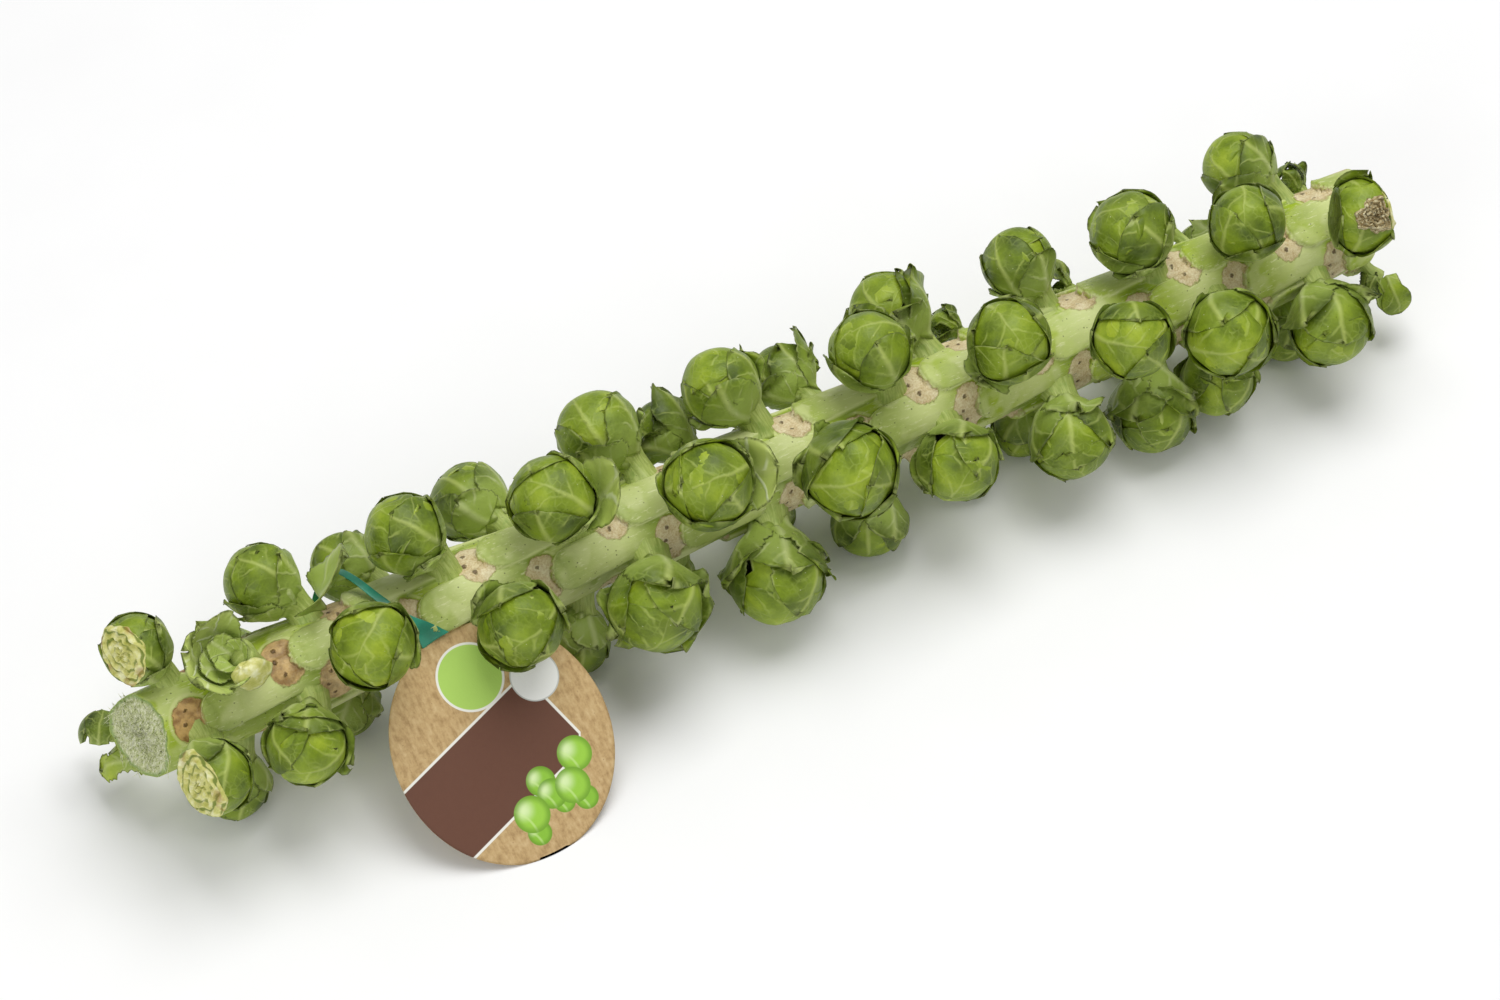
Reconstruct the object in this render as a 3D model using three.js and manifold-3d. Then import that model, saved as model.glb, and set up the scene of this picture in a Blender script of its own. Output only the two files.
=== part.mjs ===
// A brussels sprout stalk as it is cut and sold: a thick stem, a spiral of sprouts on short
// necks, a round card hang tag and the plastic strap that loops the tag to the stem.
// Millimetres, +Z up. The stalk lies along X with its crown (top of the plant) towards -X.
// The ground is z = 0, and the origin is under the middle of the part's bounding box.
import * as THREE from 'three';
import { mergeVertices } from 'three/addons/utils/BufferGeometryUtils.js';
import Module from 'manifold-3d';

const wasm = await Module();
wasm.setup();

// ---------------------------------------------------------------- driving dimensions
// Angles "around" are in degrees about the stem: 0 is up, 90 the front (-Y), 180 the ground.
const GAP = 0.3; // clearance between pieces that touch

const STEM_LENGTH = 530;
const STEM_RADIUS_CROWN = 16.2;
const STEM_RADIUS_ROOT = 17.8;
const STEM_HEIGHT = 44.5; // stem axis above the ground, held up by the sprouts beneath
const STEM_SIDES = 24;
const STEM_STEPS = 46;

const KNIFE_FACING = 42; // both end cuts are bevelled about this direction around the stem
const CROWN_BEVEL = 0.387; // mm of slant for each mm across
const ROOT_BEVEL = 0.28;
const ROOT_KNIFE_FACING = -48;

const CUSHION_HEIGHT = 1.7; // swelling of the stem below each leaf scar
const CUSHION_LENGTH = 46;
const CUSHION_HALF_WIDTH = 32; // degrees
const SCAR_OFFSET = 11; // a scar lies this far on the root side of its sprout's neck
const SCAR_TURN = 18; // the sprouts have spread this far, in degrees, from the line of scars
const SCAR_LINE = 38; // direction that they have spread away from

// Sprouts sit on one spiral of nodes, which is closer wound towards the root.
const SPROUTS = 57;
const FIRST_ALONG = -15;
const PITCH = 10.73;
const PITCH_LOSS = 0.016;
const FIRST_AROUND = -5.4;
const DIVERGENCE = 139.2; // degrees from one node to the next
const BARE_NODES = [3]; // a node that lost its sprout and keeps only its scar
const NECK_BEHIND_HEAD = 10; // heads lean towards the crown by this much
const NECK_LENGTH = 3.5;
const NECK_SHARE = 0.36; // neck radius as a share of the head's
const PRESSED = 1; // how far the weight flattens a head on the ground
const HEAD_SIDES = 10;
const HEAD_STEPS = 6;

// Head radii in mm, one for each node from the crown to the root.
const HEAD_RADII = [
  13.5, 13.2, 14.9, 0, 15, 12.8, 13, 15, 14.5, 14, // 0 to 9
  16.1, 13.7, 12.5, 15.6, 15, 16.3, 15.3, 14.3, 16.8, 15, // 10 to 19
  18.4, 16.5, 15, 16.9, 12.5, 18.8, 15.8, 15, 18.2, 13, // 20 to 29
  16.1, 16.2, 15.5, 16.2, 16.1, 14, 16.6, 6.4, 16.5, 14.7, // 30 to 39
  13, 15.7, 7, 16.8, 17, 15.5, 17.4, 7, 15, 15.5, // 40 to 49
  14, 17.2, 15, 13.5, 15.6, 6.6, 8, // 50 to 56
];

// How far a head has strayed from its place on the spiral: [mm along, degrees around].
const LEANS = {
  0: [22, -14], 2: [6, 5], 5: [-4, -6], 7: [-10, -13], 8: [-9, 1], 10: [-8, 0], 11: [-2, 9],
  13: [-8, -1], 15: [-5, -1], 16: [0, -8], 17: [6, 7], 18: [-5, -4], 20: [-3, -2],
  24: [0, 24], 26: [-1, -10], 28: [4, 0], 29: [3, 3], 30: [2, 10], 31: [4, -4],
  34: [-1, 8], 36: [6, 2], 37: [-4, 35], 38: [4, 0], 39: [6, -3], 40: [-16, -14],
  41: [6, 5], 48: [-16, -26], 49: [-3, 1], 51: [2, 3], 52: [-8, -6], 53: [-17, -19],
  54: [-3, 0], 55: [-8, 20], 56: [-4, 8],
};

// Sprouts that the harvest knife has cut: the direction that each cut faces and its distance
// from the head's centre, as a share of the head's radius.
const CUTS = {
  0: [{ facing: [-0.9, -0.3, 0.32], depth: 0.42 }],
  2: [{ facing: [-0.95, -0.25, 0.2], depth: 0.34 }],
  5: [{ facing: [0.45, -0.62, 0.64], depth: 0.12 }],
  54: [{ facing: [1, -0.1, 0], depth: 0.5 }, { facing: [0.1, -0.62, 0.75], depth: 0.66 }],
};

const TAG_RADIUS = 43.5;
const TAG_THICKNESS = 0.6;
const TAG_TILT = 35; // degrees from the ground, leaning on the stem
const TAG_ALONG = 118;
const TAG_FRONT = 88.5; // how far in front of the stem axis its lower edge stands

const STRAP_THICKNESS = 0.5;
const STRAP_WIDTH = 3.2;
const STRAP_FLARE_WIDTH = 12; // where it leaves the tag
const STRAP_FLARE_LENGTH = 22;
const STRAP_STEPS = 56;
// The strap's route round the stem, from the tag's edge to its back:
// [mm along, degrees around, mm from the stem axis].
const STRAP_ROUTE = [
  [112.5, 81.5, 21.6], [110, 71, 19.1], [106.5, 52, 19.5], [101, 28, 20], [96.5, 5, 21.4],
  [92, -25, 25], [89, -48, 27.5], [84, -72, 25.5], [81.5, -95, 22.5], [86, -122, 20.8],
  [95, -152, 20.4], [100, -182, 20.4], [102, -215, 20.4], [104, -245, 20.6], [107, -273, 20.8],
];

// ---------------------------------------------------------------- the stalk's own frame
const radians = THREE.MathUtils.degToRad;

// Unit vector across the stem at an angle around it.
function outward(around) {
  return new THREE.Vector3(0, -Math.sin(radians(around)), Math.cos(radians(around)));
}

// Point at a distance along the stem, an angle around it and a distance from its axis.
function placed(along, around, fromAxis) {
  return outward(around)
    .multiplyScalar(fromAxis)
    .add(new THREE.Vector3(along, 0, STEM_HEIGHT));
}

function nodeAlong(k) {
  return FIRST_ALONG + PITCH * k - PITCH_LOSS * k * k;
}

function nodeAround(k) {
  return FIRST_AROUND - DIVERGENCE * k;
}

function leanOf(k) {
  return LEANS[k] ?? [0, 0];
}

function neckAlong(k) {
  const along = nodeAlong(k) + leanOf(k)[0] / 2 + NECK_BEHIND_HEAD;
  return THREE.MathUtils.clamp(along, 7, STEM_LENGTH - 7);
}

function neckAround(k) {
  return nodeAround(k) + leanOf(k)[1] / 2;
}

function scarAround(k) {
  const around = neckAround(k);
  return around - SCAR_TURN * Math.sin(radians(around - SCAR_LINE));
}

function stemRadius(along) {
  return THREE.MathUtils.lerp(STEM_RADIUS_CROWN, STEM_RADIUS_ROOT, along / STEM_LENGTH);
}

// ---------------------------------------------------------------- solids
function solidOf(geometry) {
  const bare = geometry.clone();
  bare.deleteAttribute('normal');
  bare.deleteAttribute('uv');
  const merged = mergeVertices(bare, 1e-4);
  return new wasm.Manifold(
    new wasm.Mesh({
      numProp: 3,
      vertProperties: merged.attributes.position.array,
      triVerts: new Uint32Array(merged.index.array),
    }),
  );
}

function geometryOf(solid) {
  const mesh = solid.getMesh();
  const geometry = new THREE.BufferGeometry();
  geometry.setAttribute('position', new THREE.BufferAttribute(mesh.vertProperties, 3));
  geometry.setIndex(new THREE.BufferAttribute(mesh.triVerts, 1));
  return geometry;
}

// The largest body of a solid, without the slivers that a subtraction can leave.
function wholeOf(solid) {
  return solid.decompose().sort((a, b) => b.volume() - a.volume())[0];
}

// A large block whose one face lies at the point and looks against the normal: subtracting it
// removes everything on the side that the normal points to.
function knife(point, normal) {
  const size = 3 * STEM_LENGTH;
  const block = new THREE.BoxGeometry(size, size, size);
  block.translate(0, 0, size / 2);
  const turn = new THREE.Quaternion().setFromUnitVectors(
    new THREE.Vector3(0, 0, 1),
    normal.clone().normalize(),
  );
  block.applyQuaternion(turn);
  block.translate(point.x, point.y, point.z);
  return solidOf(block);
}

const crownKnife = knife(
  new THREE.Vector3(0, 0, STEM_HEIGHT),
  outward(KNIFE_FACING).multiplyScalar(CROWN_BEVEL).add(new THREE.Vector3(-1, 0, 0)),
);
const rootKnife = knife(
  new THREE.Vector3(STEM_LENGTH, 0, STEM_HEIGHT),
  outward(ROOT_KNIFE_FACING).multiplyScalar(-ROOT_BEVEL).add(new THREE.Vector3(1, 0, 0)),
);
const ground = knife(new THREE.Vector3(0, 0, 0), new THREE.Vector3(0, 0, -1));

// ---------------------------------------------------------------- stem
// Swelling of the stem at a point, from the leaf cushion on the root side of each scar.
function cushionAt(along, around) {
  let height = 0;
  for (let k = 0; k < SPROUTS; k += 1) {
    const away = THREE.MathUtils.euclideanModulo(around - scarAround(k) + 180, 360) - 180;
    const across = Math.abs(away) / CUSHION_HALF_WIDTH;
    const below = (along - neckAlong(k) - SCAR_OFFSET) / CUSHION_LENGTH;
    if (across < 1 && below > -0.1 && below < 1) {
      const rise = THREE.MathUtils.smoothstep(below, -0.1, 0.05 + 0.15 * across);
      const bump = rise * (1 - below) * Math.cos((across * Math.PI) / 2) ** 2;
      height = Math.max(height, bump * CUSHION_HEIGHT);
    }
  }
  return height;
}

function stemSolid(grow) {
  const overrun = 14; // past each end, for the knives to cut
  const profile = [new THREE.Vector2(0, -overrun)];
  for (let i = 0; i <= STEM_STEPS; i += 1) {
    const along = THREE.MathUtils.lerp(-overrun, STEM_LENGTH + overrun, i / STEM_STEPS);
    profile.push(new THREE.Vector2(1, along));
  }
  profile.push(new THREE.Vector2(0, STEM_LENGTH + overrun));
  const geometry = new THREE.LatheGeometry(profile, STEM_SIDES);
  geometry.rotateZ(-Math.PI / 2); // its axis now runs along +X
  const points = geometry.attributes.position;
  for (let i = 0; i < points.count; i += 1) {
    const along = points.getX(i);
    const y = points.getY(i);
    const z = points.getZ(i);
    const around = THREE.MathUtils.radToDeg(Math.atan2(-y, z));
    const size = Math.hypot(y, z) * (stemRadius(along) + cushionAt(along, around) + grow);
    const shift = placed(along, around, size);
    points.setXYZ(i, shift.x, shift.y, shift.z);
  }
  return solidOf(geometry).subtract(crownKnife).subtract(rootKnife);
}

// ---------------------------------------------------------------- sprouts
// Where a sprout's head and neck are. A head under the stem grows only into the room that the
// ground leaves it.
function sproutPlace(k) {
  const [leanAlong, leanAround] = leanOf(k);
  const along = nodeAlong(k) + leanAlong;
  const around = nodeAround(k) + leanAround;
  const reach = stemRadius(along) + CUSHION_HEIGHT / 2 + NECK_LENGTH;
  const down = -outward(around).z;
  const room = (STEM_HEIGHT + PRESSED - reach * down) / (1 + Math.max(down, 0));
  const radius = down > 0.3 ? Math.min(HEAD_RADII[k], room) : HEAD_RADII[k];
  return {
    radius,
    head: placed(along, around, reach + radius),
    neck: placed(neckAlong(k), neckAround(k), stemRadius(neckAlong(k)) - 3),
  };
}

function sproutSolid({ radius, head, neck }, grow) {
  const axis = head.clone().sub(neck);
  const length = axis.length();
  const neckRadius = radius * NECK_SHARE;
  const foot = -length - grow;
  const profile = [new THREE.Vector2(0, foot), new THREE.Vector2(neckRadius + grow, foot)];
  const from = -Math.PI / 2 + Math.asin(NECK_SHARE) + 0.25; // where the neck meets the head
  for (let i = 0; i <= HEAD_STEPS; i += 1) {
    const angle = THREE.MathUtils.lerp(from, Math.PI / 2, i / HEAD_STEPS);
    const across = i === HEAD_STEPS ? 0 : (radius + grow) * Math.cos(angle);
    profile.push(new THREE.Vector2(across, (radius + grow) * Math.sin(angle)));
  }
  const geometry = new THREE.LatheGeometry(profile, HEAD_SIDES);
  const turn = new THREE.Quaternion().setFromUnitVectors(new THREE.Vector3(0, 1, 0), axis.normalize());
  geometry.applyQuaternion(turn);
  geometry.translate(head.x, head.y, head.z);
  return solidOf(geometry);
}

function cutKnife({ facing, depth }, { radius, head }) {
  const normal = new THREE.Vector3(...facing).normalize();
  return knife(head.clone().addScaledVector(normal, radius * depth), normal);
}

// ---------------------------------------------------------------- tag and strap
const tagUp = new THREE.Vector3(0, Math.cos(radians(TAG_TILT)), Math.sin(radians(TAG_TILT)));
const tagNormal = new THREE.Vector3(0, -Math.sin(radians(TAG_TILT)), Math.cos(radians(TAG_TILT)));
const tagFoot = new THREE.Vector3(TAG_ALONG, -TAG_FRONT, TAG_THICKNESS);
const tagCentre = tagFoot.clone().addScaledVector(tagUp, TAG_RADIUS);

function tagSolid(grow) {
  const thickness = TAG_THICKNESS + 2 * grow;
  const geometry = new THREE.CylinderGeometry(TAG_RADIUS + grow, TAG_RADIUS + grow, thickness, 48);
  const turn = new THREE.Quaternion().setFromUnitVectors(new THREE.Vector3(0, 1, 0), tagNormal);
  geometry.applyQuaternion(turn);
  geometry.translate(tagCentre.x, tagCentre.y, tagCentre.z);
  return solidOf(geometry);
}

// A flat band along a route, its flat side towards the stem, wider where it leaves the tag.
function strapSolid(grow) {
  const route = new THREE.CatmullRomCurve3(STRAP_ROUTE.map(([a, t, r]) => placed(a, t, r)));
  const total = route.getLength();
  const corners = [];
  for (let i = 0; i <= STRAP_STEPS; i += 1) {
    const share = i / STRAP_STEPS;
    const centre = route.getPointAt(share);
    const tangent = route.getTangentAt(share);
    const lift = new THREE.Vector3(0, centre.y, centre.z - STEM_HEIGHT).normalize();
    const across = new THREE.Vector3().crossVectors(tangent, lift).normalize();
    lift.crossVectors(across, tangent);
    const flare = 1 - THREE.MathUtils.smoothstep(share * total, 0, STRAP_FLARE_LENGTH);
    const half = THREE.MathUtils.lerp(STRAP_WIDTH, STRAP_FLARE_WIDTH, flare) / 2 + grow;
    const thick = STRAP_THICKNESS / 2 + grow;
    for (const [u, v] of [[-1, -1], [1, -1], [1, 1], [-1, 1]]) {
      const corner = centre.clone().addScaledVector(across, u * half).addScaledVector(lift, v * thick);
      corners.push(corner.x, corner.y, corner.z);
    }
  }
  const faces = [0, 1, 2, 0, 2, 3];
  for (let i = 0; i < STRAP_STEPS; i += 1) {
    for (let side = 0; side < 4; side += 1) {
      const a = i * 4 + side;
      const b = i * 4 + ((side + 1) % 4);
      faces.push(a, b + 4, b, a, a + 4, b + 4);
    }
  }
  const end = STRAP_STEPS * 4;
  faces.push(end, end + 2, end + 1, end, end + 3, end + 2);
  const geometry = new THREE.BufferGeometry();
  geometry.setAttribute('position', new THREE.Float32BufferAttribute(corners, 3));
  geometry.setIndex(faces);
  return solidOf(geometry);
}

// ---------------------------------------------------------------- assembly
const looks = {
  stem: new THREE.MeshStandardMaterial({ color: 0xa9c26b, roughness: 0.6, metalness: 0 }),
  sprout: new THREE.MeshStandardMaterial({ color: 0x6f9440, roughness: 0.5, metalness: 0 }),
  bud: new THREE.MeshStandardMaterial({ color: 0x55793a, roughness: 0.55, metalness: 0 }),
  tag: new THREE.MeshStandardMaterial({ color: 0xc3a172, roughness: 0.8, metalness: 0 }),
  strap: new THREE.MeshStandardMaterial({ color: 0x1f8a6a, roughness: 0.4, metalness: 0 }),
};

const stalk = new THREE.Group();

// Adds a solid as a named mesh, with its geometry about its own place in the group.
function add(name, solid, look, place) {
  const geometry = geometryOf(solid);
  geometry.translate(-place.x, -place.y, -place.z);
  const mesh = new THREE.Mesh(geometry, look);
  mesh.name = name;
  mesh.position.copy(place);
  stalk.add(mesh);
}

const BUD_RADIUS = 9; // a smaller head is called a bud

add('stem', stemSolid(0), looks.stem, new THREE.Vector3(STEM_LENGTH / 2, 0, STEM_HEIGHT));
add('tag_card', tagSolid(0), looks.tag, tagCentre);
const stemAndTag = stemSolid(GAP).add(tagSolid(GAP));
const strap = wholeOf(strapSolid(0).subtract(stemAndTag));
add('tag_strap', strap, looks.strap, placed(TAG_ALONG, 90, 0));

const taken = stemAndTag.add(strapSolid(GAP));
const others = [];
for (let k = 0; k < SPROUTS; k += 1) {
  if (BARE_NODES.includes(k)) continue;
  const place = sproutPlace(k);
  let solid = sproutSolid(place, 0).subtract(taken).subtract(ground);
  for (const cut of CUTS[k] ?? []) solid = solid.subtract(cutKnife(cut, place));
  for (const other of others) {
    const near = other.place.head.distanceTo(place.head) < other.place.radius + place.radius + 12;
    if (near) solid = solid.subtract(other.grown);
  }
  others.push({ place, grown: sproutSolid(place, GAP) });
  const small = HEAD_RADII[k] < BUD_RADIUS;
  const name = `${small ? 'bud' : 'sprout'}_${String(k + 1).padStart(2, '0')}`;
  add(name, wholeOf(solid), small ? looks.bud : looks.sprout, place.head);
}

// Puts the origin on the ground under the middle of the whole part.
const part = new THREE.Group();
part.add(stalk);
const middle = new THREE.Box3().setFromObject(stalk).getCenter(new THREE.Vector3());
stalk.position.set(-middle.x, -middle.y, 0);

export default part;
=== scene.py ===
"""A brussels sprout stalk with its hang tag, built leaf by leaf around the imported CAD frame."""

import math

import bpy
import numpy as np
from mathutils import Matrix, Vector
from numpy import cos, sin


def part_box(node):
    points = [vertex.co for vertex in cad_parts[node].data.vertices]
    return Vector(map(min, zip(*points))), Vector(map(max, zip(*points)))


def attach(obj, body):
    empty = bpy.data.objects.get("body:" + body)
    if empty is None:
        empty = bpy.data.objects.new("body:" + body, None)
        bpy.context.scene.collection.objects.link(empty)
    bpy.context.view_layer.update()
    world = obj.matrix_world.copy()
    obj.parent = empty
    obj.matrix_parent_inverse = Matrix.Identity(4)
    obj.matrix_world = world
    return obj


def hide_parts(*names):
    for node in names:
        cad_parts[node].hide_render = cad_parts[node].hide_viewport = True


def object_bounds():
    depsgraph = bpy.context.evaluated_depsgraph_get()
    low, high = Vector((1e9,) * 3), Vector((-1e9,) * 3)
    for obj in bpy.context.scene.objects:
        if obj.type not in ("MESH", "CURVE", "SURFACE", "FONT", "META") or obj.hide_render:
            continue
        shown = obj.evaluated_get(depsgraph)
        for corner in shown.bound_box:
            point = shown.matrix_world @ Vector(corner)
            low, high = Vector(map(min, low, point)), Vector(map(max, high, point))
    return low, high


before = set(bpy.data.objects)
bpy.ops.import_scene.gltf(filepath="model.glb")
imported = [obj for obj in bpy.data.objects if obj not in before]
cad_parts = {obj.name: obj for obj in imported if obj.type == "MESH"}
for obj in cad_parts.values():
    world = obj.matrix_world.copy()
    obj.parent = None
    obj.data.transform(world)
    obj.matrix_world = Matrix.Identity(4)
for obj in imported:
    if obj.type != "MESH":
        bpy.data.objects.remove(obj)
CAD_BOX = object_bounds()
MM = 0.001
ALONG = np.array([1.0, 0, 0])

# ---------------------------------------------------------------- the stalk's own frame
# Angles "around" are in degrees about the stem: 0 is up, 90 the front (-Y), 180 the ground.
STEM_LOW, STEM_HIGH = (np.array(corner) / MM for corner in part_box("stem"))
STEM_RADIUS_CROWN = 16.2
STEM_RADIUS_ROOT = 17.8
KNIFE_FACING = 42
CROWN_BEVEL = 0.387
ROOT_KNIFE_FACING = -48
ROOT_BEVEL = 0.28
AXIS_Y = (STEM_LOW[1] + STEM_HIGH[1]) / 2
AXIS_Z = (STEM_LOW[2] + STEM_HIGH[2]) / 2
CROWN_X = STEM_LOW[0] + CROWN_BEVEL * STEM_RADIUS_CROWN
STEM_LENGTH = STEM_HIGH[0] - ROOT_BEVEL * STEM_RADIUS_ROOT - CROWN_X


def outward(around):
    angle = np.radians(around)
    return np.stack([np.zeros_like(angle), -sin(angle), cos(angle)], -1)


def placed(along, around, from_axis):
    """Points in mm, from distances along the stem, angles around it and distances from its axis."""
    along, around, from_axis = np.broadcast_arrays(along, around, from_axis)
    point = outward(around.astype(float)) * from_axis[..., None]
    point[..., 0] = CROWN_X + along
    point[..., 1] += AXIS_Y
    point[..., 2] += AXIS_Z
    return point


def along_around(point):
    """The inverse of placed, without the distance."""
    around = np.degrees(np.arctan2(AXIS_Y - point[1], point[2] - AXIS_Z))
    return point[0] - CROWN_X, around


def stem_radius(along):
    return STEM_RADIUS_CROWN + (STEM_RADIUS_ROOT - STEM_RADIUS_CROWN) * along / STEM_LENGTH


def smoothstep(value, low, high):
    t = np.clip((value - low) / (high - low), 0, 1)
    return t * t * (3 - 2 * t)


def unit(vector):
    return vector / np.linalg.norm(vector)


def units(vectors):
    return vectors / np.linalg.norm(vectors, axis=-1, keepdims=True)


def ring_angles(count):
    return np.linspace(0, 2 * np.pi, count, endpoint=False)[None, :]


def linked(name, data):
    """An object with this data, in the scene."""
    thing = bpy.data.objects.new(name, data)
    bpy.context.collection.objects.link(thing)
    return thing


def cad_points(node):
    """A CAD node's vertices in mm."""
    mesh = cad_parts[node].data
    points = np.empty(len(mesh.vertices) * 3)
    mesh.vertices.foreach_get("co", points)
    return points.reshape(-1, 3) / MM


def read_sprout(node):
    """Head centre, head radius and neck foot of a sprout, from its CAD solid."""
    points = cad_points(node)
    from_axis = np.hypot(points[:, 1] - AXIS_Y, points[:, 2] - AXIS_Z)
    foot = points[from_axis < from_axis.min() + 2.5].mean(0)
    chosen = from_axis > np.quantile(from_axis, 0.3)
    for _ in range(8):
        some = points[chosen]
        system = np.column_stack([2 * some, np.ones(len(some))])
        solved = np.linalg.lstsq(system, (some**2).sum(1), rcond=None)[0]
        centre = solved[:3]
        radius = math.sqrt(solved[3] + centre @ centre)
        off = np.abs(np.linalg.norm(points - centre, axis=1) - radius)
        chosen = off < max(0.3, np.quantile(off, 0.4))
    return centre, radius, foot


# Where a stub leaves the stem away from its node's usual place: [mm along, degrees around].
FEET = {"sprout_01": (15, -30)}
SPROUT_NODES = sorted(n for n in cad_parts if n.startswith(("sprout_", "bud_")))
SPROUTS = {node: read_sprout(node) for node in SPROUT_NODES}
for _node, (_along, _around) in FEET.items():
    _centre, _radius, _ = SPROUTS[_node]
    SPROUTS[_node] = (_centre, _radius, placed(_along, _around, stem_radius(_along)))
FLOOR_Z = CAD_BOX[0][2] / MM

# The materials of a head's mesh, in order.
LEAF, NECK, FRESH_CUT, DRIED_CUT = range(4)
# Heads that the harvest knife has cut: the direction that each cut faces, its distance from the
# head's centre as a share of the head's radius, and its material. Without one, it only flattens.
CUTS = {
    "sprout_01": [((-0.9, -0.3, 0.32), 0.42, FRESH_CUT)],
    "sprout_03": [((-0.95, -0.25, 0.2), 0.34, FRESH_CUT)],
    "sprout_55": [
        ((1, -0.1, 0), 0.42, FRESH_CUT),
        ((-0.16, -0.7, 0.66), 0.88, DRIED_CUT),
        ((-1, 0.45, 0.1), 0.7, None),
    ],
}


# ---------------------------------------------------------------- meshes from grids
class Skin:
    """Gathers grids of points, in mm, into one mesh with values that the materials read."""

    def __init__(self, names):
        self.names = names
        self.points = []
        self.faces = []
        self.slots = []
        self.values = {name: [] for name in names}
        self.count = 0

    def add(self, points, faces, slot, values):
        flat = points.reshape(-1, 3)
        self.points.append(flat)
        self.faces.append(faces + self.count)
        self.slots.append(np.full(len(faces), slot))
        for name in self.names:
            value = np.broadcast_to(values.get(name, 0.0), points.shape[:-1])
            self.values[name].append(value.reshape(-1))
        self.count += len(flat)

    def tube(self, points, slot=0, **values):
        """A grid whose columns close into rings, with both ends closed."""
        rows, cols = points.shape[:2]
        index = np.arange(rows * cols).reshape(rows, cols)
        ahead = np.roll(index, -1, 1)
        sides = np.stack([index[:-1], ahead[:-1], ahead[1:], index[1:]], -1).reshape(-1, 4)
        half = np.arange(cols // 2 - 1)
        cap = np.stack([half, cols - 1 - half, cols - 2 - half, half + 1], -1)
        end = np.stack([half, half + 1, cols - 2 - half, cols - 1 - half], -1) + index[-1, 0]
        self.add(points, np.concatenate([sides, cap, end]), slot, values)

    def shell(self, outer, inner, slot=0, **values):
        """A closed sheet between two grids of the same shape."""
        rows, cols = outer.shape[:2]
        top = np.arange(rows * cols).reshape(rows, cols)
        low = top + rows * cols
        faces = []
        for grid, turn in ((top, 1), (low, -1)):
            quads = np.stack([grid[:-1, :-1], grid[:-1, 1:], grid[1:, 1:], grid[1:, :-1]], -1)
            faces.append(quads.reshape(-1, 4)[:, ::turn])
        ring = np.concatenate([top[0, :-1], top[:-1, -1], top[-1, :0:-1], top[:0:-1, 0]])
        after = np.roll(ring, -1)
        under = ring + rows * cols
        faces.append(np.stack([ring, under, np.roll(under, -1), after], -1))
        both = {name: np.broadcast_to(v, (2, rows, cols)) for name, v in values.items()}
        self.add(np.stack([outer, inner]), np.concatenate(faces), slot, both)

    def build(self, name, materials):
        points = np.concatenate(self.points) * MM
        faces = np.concatenate(self.faces)
        mesh = bpy.data.meshes.new(name)
        mesh.vertices.add(len(points))
        mesh.vertices.foreach_set("co", points.reshape(-1))
        mesh.loops.add(faces.size)
        mesh.loops.foreach_set("vertex_index", faces.reshape(-1))
        mesh.polygons.add(len(faces))
        mesh.polygons.foreach_set("loop_start", np.arange(len(faces)) * 4)
        for material in materials:
            mesh.materials.append(material)
        mesh.polygons.foreach_set("material_index", np.concatenate(self.slots))
        mesh.polygons.foreach_set("use_smooth", np.ones(len(faces), bool))
        for key, parts in self.values.items():
            layer = mesh.attributes.new(key, "FLOAT", "POINT")
            layer.data.foreach_set("value", np.concatenate(parts).astype(np.float32))
        mesh.update(calc_edges=True)
        mesh.validate()
        return linked(name, mesh)


# ---------------------------------------------------------------- material building
def srgb(red, green, blue):
    """A colour given as on a screen, 0 to 255, as the linear colour that a shader takes."""
    parts = np.array([red, green, blue]) / 255
    linear = np.where(parts <= 0.04045, parts / 12.92, ((parts + 0.055) / 1.055) ** 2.4)
    return (*linear, 1.0)


def arithmetic(operation, swapped=False):
    """A method that makes a math node from a value and what it meets."""
    def method(value, other=0.0):
        pair = (other, value) if swapped else (value, other)
        return value.shade.math(operation, *pair)

    return method


class Value:
    """A node's output that plain arithmetic turns into further nodes."""

    def __init__(self, shade, socket):
        self.shade = shade
        self.socket = socket

    __abs__ = arithmetic("ABSOLUTE")
    __add__ = arithmetic("ADD")
    __radd__ = arithmetic("ADD", True)
    __sub__ = arithmetic("SUBTRACT")
    __rsub__ = arithmetic("SUBTRACT", True)
    __mul__ = arithmetic("MULTIPLY")
    __truediv__ = arithmetic("DIVIDE")


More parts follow.
